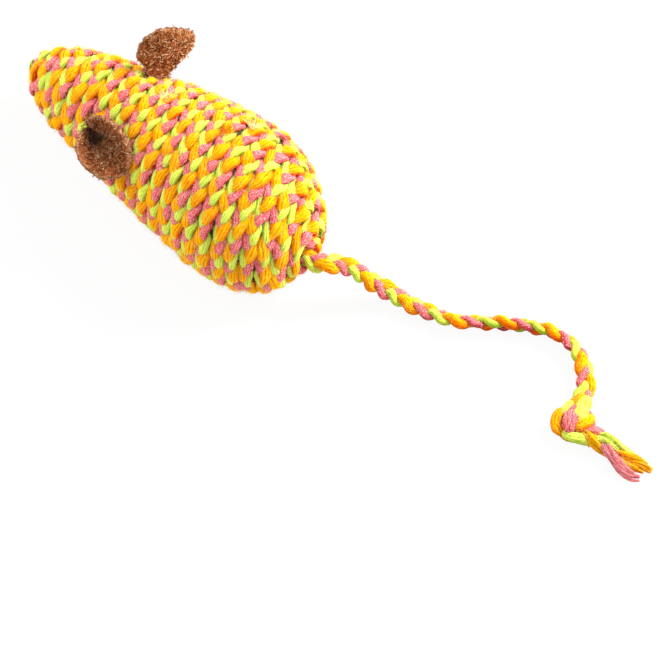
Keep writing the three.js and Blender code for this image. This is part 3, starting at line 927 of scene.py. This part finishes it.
def upward_from(heading):
    """Directions that point up, at right angles to a line's heading."""
    return unit(np.array((0, 0, 1.0)) - heading * heading[:, 2:])


TAIL_STEP = 0.3 * MM
TAIL_SHIFT = 2.2  # of the pattern, as an angle
TAIL_TAPER = (0.8, 0.7, 3 * MM)  # fullness at both ends, and how far it rises from them
TAIL_ROOM = [(-3 * MM, 0.8), (0, 1)]  # by length from the rump
# How far the plait is turned from lying flat, in degrees, by share of its length.
TAIL_TURN = [(0, 5), (0.12, 0), (0.25, -15), (0.4, -45), (0.55, -75), (0.72, -65),
             (0.85, -40), (1, -30)]
# Even 0.7 evens out the painted light and shade on the tail's strands.
TAIL_PLAIT = {
    "Repeat": 12.4 * MM, "Depth Swing": 0.66 * MM, "Half Thickness": 1 * MM,
    "Half Width": 1.26 * MM, "Side Swing": 1.36 * MM, "Wander": 0.3 * MM, "Swell": 0.12,
    "Swell Place": math.radians(75), "Skew": -0.15, "Lag": math.radians(-20),
    "Ply Twist": FULL_TURN / (7 * MM), "Over": 0.0, "Even": 0.7, "Corners": 24,
}


def make_tail():
    """The plait from the knot in the rump to the knot at its end.

    It comes out of the rump face up, and then turns on edge. The stretch inside the rump is
    a piece of its own, because it stays with the body.
    """
    points, along = smooth_line(TAIL_IN_RUMP + TAIL_ROUTE + TAIL_IN_KNOT, TAIL_STEP)
    heading = unit(np.gradient(points, axis=0))
    flat = upward_from(heading)
    edge = np.cross(heading, flat)
    out = int(np.argmin(np.linalg.norm(points - np.array(TAIL_PIVOT), axis=1)))
    share = (along - along[out]) / (along[-1] - along[out])
    turn = np.radians(from_table(TAIL_TURN, share))[:, None]
    outward = flat * np.cos(turn) + edge * np.sin(turn)
    aside = unit(np.cross(outward, heading))
    room = from_table(TAIL_ROOM, along - along[out])
    values = (points, outward, aside, room, along, tapered(along, *TAIL_TAPER))
    made = []
    for name, part in (("tail_plait_inside", slice(0, out + 1)),
                       ("tail_plait_strands", slice(out, None))):
        line = line_mesh(name + "_line", *(value[part] for value in values))
        strands = plait(name, line, TAIL_PLAIT, TAIL_SHIFT)
        fuzz = [fuzz_on(strand, colour) for colour, strand in strands.items()]
        made.append(joined(name, [*strands.values(), *fuzz]))
    return *made, points[out:]


def bundle(name, colour, points, half_width, half_thickness, taper, **settings):
    """One strand of yarn along a smooth line."""
    line_points, along = smooth_line(points, BUNDLE_STEP)
    heading = unit(np.gradient(line_points, axis=0))
    up = upward_from(heading)
    line = line_mesh(name + "_line", line_points, up, np.cross(up, heading), 1, along,
                     tapered(along, *taper))
    return shaped(name, line, STRAND, {
        **BUNDLE, "Half Width": half_width, "Half Thickness": half_thickness,
        "Finish": YARN[colour], **settings,
    })


TAIL_KNOT_PLACE = (120.1, 11.9, 3)
INNER_KNOT_PLACE = (32, 0, 14.03)
INNER_KNOT_SIZE = 0.85
KNOT_TAPER = (0.6, 0.6, 1.5 * MM)
# Turns of a knot about its own middle: colour, places, half width and half thickness.
KNOT_TURNS = [
    ("orange", [(-2.8, 1.4, 0.2), (-3, -1.2, 0.4), (-1.8, -3.4, 0.1), (0.6, -4, -0.9)], 1.5, 1.4),
    ("pink", [(-0.9, 1.8, 1), (0.1, -0.2, 1.6), (1.3, -2, 1.5), (2.4, -2.6, 0.2)], 1.9, 1.3),
    ("lime", [(-2.9, 4, 0.5), (-2.6, 1.4, 1.2), (-2.5, -0.8, 0.7)], 1.2, 1.1),
    ("lime", [(-1.1, 7.6, 0.1), (-0.2, 5.2, 0.7), (0.9, 2.8, 1.2), (1.8, 0.4, 0.8)], 2.1, 1.2),
    ("orange", [(3.1, 4.4, -0.4), (3.7, 1.8, 0.8), (3, -0.4, 0.9), (1.8, -0.9, 0.2)], 1.7, 1.3),
    ("lime", [(0.2, -3.3, -0.6), (3.1, -3.3, -0.1), (5.4, -2.2, -0.1), (7.4, -0.6, -1.2)],
     1.6, 1.3),
    ("pink", [(-2.4, 3.2, -1.2), (1, 4.4, -1.5), (4, 2.4, -1), (4.6, -0.6, -1)], 1.6, 1.2),
    ("orange", [(-2, -2.4, -1.4), (1.6, -3.2, -1.6), (4.6, -1.6, -1.4)], 1.5, 1.2),
    ("lime", [(-2.8, 0.4, -1.4), (0.4, 0.4, -1.5), (3.6, 0.6, -1.5)], 1.8, 1.3),
]


def make_knot(name, middle, size=1.0):
    """An overhand knot: turns of the plait's strands, drawn tight."""
    pieces = []
    for number, (colour, turn, half_width, half_thickness) in enumerate(KNOT_TURNS):
        places = [tuple(m + size * p for m, p in zip(middle, place)) for place in turn]
        piece = bundle(f"{name}_{number}", colour, places, size * half_width * MM,
                       size * half_thickness * MM, KNOT_TAPER)
        pieces += [piece, fuzz_on(piece, colour)]
    return joined(name, pieces)


# Fine cords of each loose end: how many, half width of the fan in mm, where they part.
END_CORDS = {"orange": (13, 1.9, 0.45), "pink": (8, 1.15, 0.5), "lime": (6, 0.85, 0.5)}
END_HALF_WIDTH = 0.8  # mm, before the cords part
FAN_SWING = 0.78 * math.pi  # the fan widens like a sine, and closes a little at its tip
END_TWIST = 0.6  # turns, from the knot to the tip
END_HALF_HEIGHT = 0.6  # mm
CORD_HALF_WIDTH = 0.64 * MM
CORD_TAPER = (0.9, 0.45, 3 * MM)
CORD_LAYERS = 3
CORD_RISE = 0.4  # mm, from layer to layer
CORD_DRIFT = 0.16  # mm, to the side
CORD_DRIFT_LENGTH = 2.6 * MM
CORD_DRIFT_SHIFT = 2.4  # from cord to cord, as an angle
CORD_SHORTER = 0.07  # by which an outer cord of the first layer ends early, as a share
CORD_POINT_STEP = 6


def make_ends():
    """The strands behind the knot, each of which falls open into its fine cords."""
    pieces = []
    for colour, route in END_ROUTES.items():
        count, fan, parting = END_CORDS[colour]
        points, along = smooth_line(route, BUNDLE_STEP)
        heading = unit(np.gradient(points, axis=0))
        aside = unit(np.cross((0, 0, 1.0), heading))
        share = along / along[-1]
        opened = np.clip((share - parting) / (1 - parting), 0, 1)
        spread = END_HALF_WIDTH + (fan - END_HALF_WIDTH) * np.sin(opened * FAN_SWING)
        made = []
        for number in range(count):
            place = 2 * (number + 0.5) / count - 1
            layer = number % CORD_LAYERS
            twist = FULL_TURN * (share * END_TWIST + number / count)
            drift = CORD_DRIFT * np.sin(along / CORD_DRIFT_LENGTH + CORD_DRIFT_SHIFT * number)
            sideways = (place * opened + np.cos(twist) * (1 - opened)) * spread + drift
            height = np.sin(twist) * END_HALF_HEIGHT * (1 - opened) + CORD_RISE * (layer - 1)
            cord = points + aside * (sideways * MM)[:, None]
            cord[:, 2] += height * MM
            last = len(cord) - int(len(cord) * CORD_SHORTER * abs(place) * (1 + layer))
            piece = bundle(f"cord_{colour}_{number}", colour,
                           (cord[:last:CORD_POINT_STEP] / MM).tolist(), CORD_HALF_WIDTH,
                           CORD_HALF_WIDTH, CORD_TAPER, Corners=12, Plies=4.0, Even=0.75)
            made += [piece, fuzz_on(piece, colour)]
        piece = joined("tail_end_" + colour + "_yarn", made)
        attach(piece, "tail")
        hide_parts("tail_end_" + colour)
        pieces.append(piece)
    return pieces


inner_plait, tail, tail_points = make_tail()
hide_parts("tail_plait")
inner_knot = make_knot("tail_anchor_knot", INNER_KNOT_PLACE, INNER_KNOT_SIZE)
for piece in (inner_plait, inner_knot):
    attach(piece, "body")
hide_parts("tail_anchor")
knot = make_knot("tail_knot_turns", TAIL_KNOT_PLACE)
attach(knot, "tail")
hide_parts("tail_knot")
ends = make_ends()
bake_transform(tail)

WINDING_TAPER = (0.5, 0.5, 5 * MM)


def make_winding():
    """The winding in a few stretches, because a strand has too many faces for one piece."""
    points, outward, aside, room, along = winding_line()
    values = (points, outward, aside, room, along, tapered(along, *WINDING_TAPER))
    ends = np.linspace(0, len(points) - 1, STRETCHES + 1).astype(int)
    for number, (first, last) in enumerate(zip(ends, ends[1:])):
        part = slice(first, last + 2)
        line = line_mesh(f"winding_line_{number}", *(value[part] for value in values))
        strands = plait(f"winding_{number}", line, {})
        for colour, strand in strands.items():
            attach(strand, "body")
            fuzz = fuzz_on(strand, colour)
            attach(fuzz, "body")
        if number == 0:
            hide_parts("body_winding")


make_winding()

# Where the yarn of the back has worked loose: a place in loops, and a finish.
TUFTS = [(10.46, FUZZ["lime"]), (15.46, YARN["orange"]), (16.41, FUZZ["lime"])]
TUFT_RADIUS = 1.1 * MM
TUFT_CORNERS = 6
TUFT_SEED = 20
TUFT_FIBRES = {
    "Density": 12000000.0, "Length": 2.2 * MM, "Thickness": 0.05 * MM, "Lift": 0.6,
    "Curl": 1.6 * MM, "Curl Size": 0.9 * MM, "Stand Off": 0.8, "Bends": 7,
}


def make_tuft(number, loops, finish):
    """A few fibres that stand up out of the winding."""
    middle, above = (winding_points(np.array([loops]), outset)[0]
                     for outset in (PLAIT_THICKNESS / 2, PLAIT_THICKNESS))
    facing = unit(above - middle)
    first = unit(np.cross(facing, (1.0, 0, 0)))
    second = np.cross(facing, first)
    corners = range(TUFT_CORNERS)
    patch = bpy.data.meshes.new("tuft_root")
    patch.from_pydata(
        [tuple(middle + TUFT_RADIUS * (first * math.cos(turn) + second * math.sin(turn)))
         for turn in np.arange(TUFT_CORNERS) * FULL_TURN / TUFT_CORNERS], [], [tuple(corners)])
    carry(patch, "upright", [facing for _ in corners])
    tuft = shaped(f"tuft_{number}", patch, FIBRES,
                  {**TUFT_FIBRES, "Seed": TUFT_SEED + number, "Finish": finish})
    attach(tuft, "body")


for number, (loops, finish) in enumerate(TUFTS):
    make_tuft(number, loops, finish)

# Ears

EAR_THICKNESS = 1.6 * MM
EAR_ROOT_RADIUS = 1.2 * MM
EAR_SEAT_GAP = 0.3 * MM
EAR_RINGS = 48
EAR_COLUMNS = 48
EAR_RING_CROWDING = 0.9  # a power below 1 crowds the rings toward the tip
# Distance along the ear, half width, and how far the felt is rolled, as shares. The first
# row is the stub that is pushed between the turns of the plait.
EAR_OUTLINE = np.array([
    (-0.12, 0.3, 1), (0, 0.5, 1), (0.1, 0.74, 0.9), (0.22, 0.92, 0.72), (0.4, 1, 0.54),
    (0.62, 0.97, 0.42), (0.82, 0.78, 0.34), (0.95, 0.45, 0.3), (1, 0.18, 0.3),
])
# The felt is cut and set by hand, so the ears differ. Angles are in degrees, sizes in mm.
EAR_POSES = {
    "ear_left": {
        "side": -1, "station": EAR_STATIONS[0], "lean": 74, "aim": -3, "turn": -30, "roll": 256,
        "bow": -0.3, "flaps": (2.9, 0.3), "start": 0.55, "length": 13.8, "half_width": 7.6,
    },
    "ear_right": {
        "side": 1, "station": EAR_STATIONS[1], "lean": 9.5, "aim": -40, "turn": 19, "roll": 142,
        "bow": 0, "flaps": (0.5, 0.8), "start": -0.5, "length": 12, "half_width": 8.8,
    },
}
REARWARD_REACH = 1 / 30  # of the side line, to each side of an ear, to find which way it runs
# The felt thins toward its edge. Shares run across the ear from 0 to 1, and along it.
SIDE_SHARPNESS = 6
TIP_THINS_FROM = 0.85
TIP_THINS_OVER = 0.15
EDGE_THINNEST = 0.3
FELT_SEED = 1
FELT_LUMPS = [(420, 0.35), (1500, 0.2)]  # how many to a metre, and their size in mm
# Painted shade on the ear's inner side: where the hollow at the root is painted dark, and how far
# the felt round it gets painted shade.
HOLLOW_END = 0.42
HOLLOW_FADE = 0.14
HOLLOW_HALF_WIDTH = 0.5
HOLLOW_SIDE_FADE = 0.2
SHADED = 0.62
SHADED_END = 1.4
DARKEST = 0.93
# Where the loose wool is shorter, toward the sides and the tip: from where, and over what.
RIM_SIDE = (0.6, 0.3)
RIM_TIP = (0.75, 0.2)
EAR_WOOL = {
    "Density": 6600000.0, "Length": 2.0 * MM, "Thickness": 0.08 * MM, "Lift": 0.05,
    "Curl": 2.6 * MM, "Curl Size": 0.8 * MM, "Stand Off": 0.2, "Bends": 7, "Seed": 3,
    "Finish": WOOL,
}


def turned_about(vector, axis, degrees):
    """A vector turned about an axis at right angles to it."""
    angle = math.radians(degrees)
    return vector * math.cos(angle) + np.cross(axis, vector) * math.sin(angle)


def ear_basis(pose):
    """Where an ear stands: hinge, upward and hollow directions, and the root's place."""
    angle = np.array([-pose["side"] * EAR_FROM_TOP])
    station = np.array([pose["station"]])

    def at(share, outset):
        return body_points(station + share, angle, outset)[0]

    normal = unit(at(0, PLAIT_THICKNESS) - at(0, 0))
    rearward = unit(at(REARWARD_REACH, 0) - at(-REARWARD_REACH, 0))
    hinge = turned_about(unit(np.cross(rearward, normal)), normal, pose["aim"])
    back = np.cross(normal, hinge)
    lean = math.radians(pose["lean"])
    upward = normal * math.cos(lean) + back * math.sin(lean)
    root = at(0, PLAIT_THICKNESS / 2) + normal * (EAR_ROOT_RADIUS + EAR_SEAT_GAP)
    return np.stack([hinge, upward, np.cross(hinge, upward)]), root


def felt_points(pose, rows, across):
    """The middle of the felt: x across the ear, y along it, z toward the hollow side."""
    outline = curve_through(EAR_OUTLINE)
    width, rolled = (np.interp(rows, outline[:, 0], outline[:, column]) for column in (1, 2))
    roll = math.radians(pose["roll"]) * rolled
    radius = 2 * pose["half_width"] * width / roll
    turn = across[None, :] * roll[:, None] / 2
    left = np.clip(1 - rows, 0, 1)[:, None]
    flap = np.where(across > 0, pose["flaps"][1], pose["flaps"][0]) * across**2 * left
    root_back = (EAR_ROOT_RADIUS - EAR_THICKNESS / 2) / MM * left
    bow = (pose["bow"] * pose["length"] * np.clip(rows, 0, 1)**2)[:, None]
    return np.stack([
        radius[:, None] * np.sin(turn),
        pose["start"] + rows[:, None] * pose["length"] - flap,
        radius[:, None] * (1 - np.cos(turn)) - root_back + bow,
    ], axis=-1) * MM


def rise(value, start, reach):
    """Goes from 0 at the start to 1 over the reach, and falls where that is negative."""
    return np.clip((value - start) / reach, 0, 1)


def felt_faces():
    """The faces of the felt's two sides, and of the rim that closes them."""
    count = EAR_COLUMNS + 1
    other = count * (EAR_RINGS + 1)
    faces = []

    def rim(a, step, sign):
        faces.append((a, a + other, a + other + step, a + step)[::sign])

    for first in range(0, EAR_RINGS * count, count):
        for a in range(first, first + EAR_COLUMNS):
            faces.append((a, a + count, a + count + 1, a + 1))
            faces.append((a + other, a + other + 1, a + other + count + 1, a + other + count))
        rim(first, count, 1)
        rim(first + EAR_COLUMNS, count, -1)
    for a in range(EAR_COLUMNS):
        rim(a, 1, -1)
        rim(EAR_RINGS * count + a, 1, 1)
    return faces


def make_ear(name):
    """A rolled piece of felt with a thin edge and a layer of loose wool."""
    pose = EAR_POSES[name]
    stub = EAR_OUTLINE[0, 0]
    rows = stub + (1 - stub) * np.linspace(0, 1, EAR_RINGS + 1)**EAR_RING_CROWDING
    across = np.linspace(-1, 1, EAR_COLUMNS + 1)
    down = rows[:, None]
    flat = felt_points(pose, rows, across)
    sideways = np.gradient(flat, axis=1)
    inward = unit(np.stack([-sideways[..., 2], 0 * sideways[..., 0], sideways[..., 0]],
                           axis=-1))
    to_edge = np.maximum(np.abs(across)[None, :] ** SIDE_SHARPNESS,
                         rise(down, TIP_THINS_FROM, TIP_THINS_OVER) ** 2)
    thinned = np.sqrt(np.clip(1 - to_edge, EDGE_THINNEST, 1))[..., None]
    half = inward * EAR_THICKNESS / 2 * thinned
    angle = math.radians(pose["turn"])
    around = np.array([[math.cos(angle), 0, math.sin(angle)], [0, 1, 0],
                       [-math.sin(angle), 0, math.cos(angle)]])
    basis, root = ear_basis(pose)
    points = np.vstack([side.reshape(-1, 3) @ around.T @ basis + root
                        for side in (flat + half, flat - half)])
    for index, point in enumerate(points):
        lumps = (noise.noise_vector(Vector(point * often)) * size * MM
                 for often, size in FELT_LUMPS)
        points[index] = point + np.array(sum(lumps, Vector()))

    mesh = bpy.data.meshes.new(name + "_felt")
    mesh.from_pydata(points.tolist(), [], felt_faces())
    mesh.materials.append(FELT)
    mesh.polygons.foreach_set("use_smooth", np.ones(len(mesh.polygons), bool))
    facing = np.zeros(len(points) * 3, np.float32)
    mesh.vertex_normals.foreach_get("vector", facing)
    carry(mesh, "upright", facing.reshape(-1, 3))
    # Painted shade on the inner side only: darkest in the hollow at the root, fading toward the
    # tip and the sides.
    hollow = (rise(down, HOLLOW_END, -HOLLOW_FADE)
              * rise(np.abs(across), HOLLOW_HALF_WIDTH, -HOLLOW_SIDE_FADE))
    shaded = SHADED * rise(down, SHADED_END, -1) * (1 - across**2)
    hollow = np.clip(np.maximum(hollow, shaded), 0, DARKEST)
    rim = np.maximum(rise(np.abs(across), *RIM_SIDE), rise(down, *RIM_TIP))
    # Painted highlight along the felt's edges, on both sides.
    carry(mesh, "edge_highlight", np.tile(rise(to_edge, 0.5, 0.5).ravel(), 2))
    carry(mesh, "hollow", np.concatenate([hollow.ravel(), 0 * hollow.ravel()]))
    carry(mesh, "rim", np.tile(rim.ravel(), 2))
    ear = new_object(name + "_felt", mesh)
    wool = shaped(name + "_wool", mesh.copy(), FIBRES, EAR_WOOL)
    for piece in (ear, wool):
        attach(piece, name)
    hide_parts(name)


noise.seed_set(FELT_SEED)  # without a seed, the felt's lumps would differ from run to run
for ear_name in EAR_POSES:
    make_ear(ear_name)

# Inside the mouse

INSIDE = {
    ("core_left", "core_right"): plain_finish(
        "moulded_filling", linear(238, 234, 224), linear(212, 206, 192), 900.0, 0.9, 0.3 * MM),
    ("catnip_pouch",): plain_finish(
        "muslin", linear(232, 222, 200), linear(204, 190, 160), 2600.0, 0.95, 0.2 * MM),
    ("catnip_filling",): plain_finish(
        "dried_leaf", linear(136, 148, 92), linear(78, 86, 48), 700.0, 1.0, 0.8 * MM),
    ("pouch_tie",): plain_finish(
        "sewing_thread", linear(246, 242, 232), linear(214, 208, 196), 3000.0, 0.9, 0.1 * MM),
}
for names, finish in INSIDE.items():
    for node_name in names:
        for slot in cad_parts[node_name].material_slots:
            slot.material = finish

# Floor, light and the view

WHITE = (1, 1, 1, 1)
FLOOR_REACH = 3.0
FLOOR_COLOUR = linear(236, 236, 236)
FLOOR_PLAIN = 0.93  # the share of plain white in the floor that the camera sees
WORLD_STRENGTH = 0.62
WORLD_SEEN = 0.38  # what is added to it where the camera sees it
# Each lamp's place, size and watts.
LAMPS = {
    "key_light": ((0.4, 0.9, 0.75), 0.5, 22.0),
    "rim_light": ((0.75, 1.0, 0.25), 0.4, 8.0),
    "fill_light": ((-1.0, -0.4, 0.8), 0.9, 12.0),
}


def make_floor():
    """A pale floor that the camera sees as nearly plain white."""
    mesh = bpy.data.meshes.new("floor")
    corners = [(x * FLOOR_REACH, y * FLOOR_REACH, 0)
               for x, y in ((-1, -1), (1, -1), (1, 1), (-1, 1))]
    mesh.from_pydata(corners, [], [(0, 1, 2, 3)])
    material = bpy.data.materials.new("pale_floor")
    material.use_nodes = True
    material.node_tree.nodes.clear()
    bench = Bench(material.node_tree)
    paper = bench.out("ShaderNodeBsdfDiffuse", {}, FLOOR_COLOUR)
    white = bench.out("ShaderNodeEmission", {}, WHITE, 1.0)
    bench.show(bench.out("ShaderNodeMixShader", {}, bench.seen() * FLOOR_PLAIN, paper, white))
    mesh.materials.append(material)
    new_object("floor", mesh)


def make_light():
    """A bright world and three lamps that look at the middle of the frame."""
    world = bpy.data.worlds.new("studio")
    world.use_nodes = True
    world.node_tree.nodes.clear()
    bpy.context.scene.world = world
    bench = Bench(world.node_tree)
    strength = bench.seen() * WORLD_SEEN + WORLD_STRENGTH
    bench.show(bench.out("ShaderNodeBackground", {}, WHITE, strength), "ShaderNodeOutputWorld")
    for name, (place, size, power) in LAMPS.items():
        lamp = new_object(name, bpy.data.lights.new(name, "AREA"))
        lamp.data.size = size
        lamp.data.energy = power
        lamp.location = place
        lamp.rotation_mode = "QUATERNION"
        lamp.rotation_quaternion = (-Vector(place)).to_track_quat("-Z", "Y")


make_floor()
make_light()
bpy.context.scene.view_settings.view_transform = "Standard"
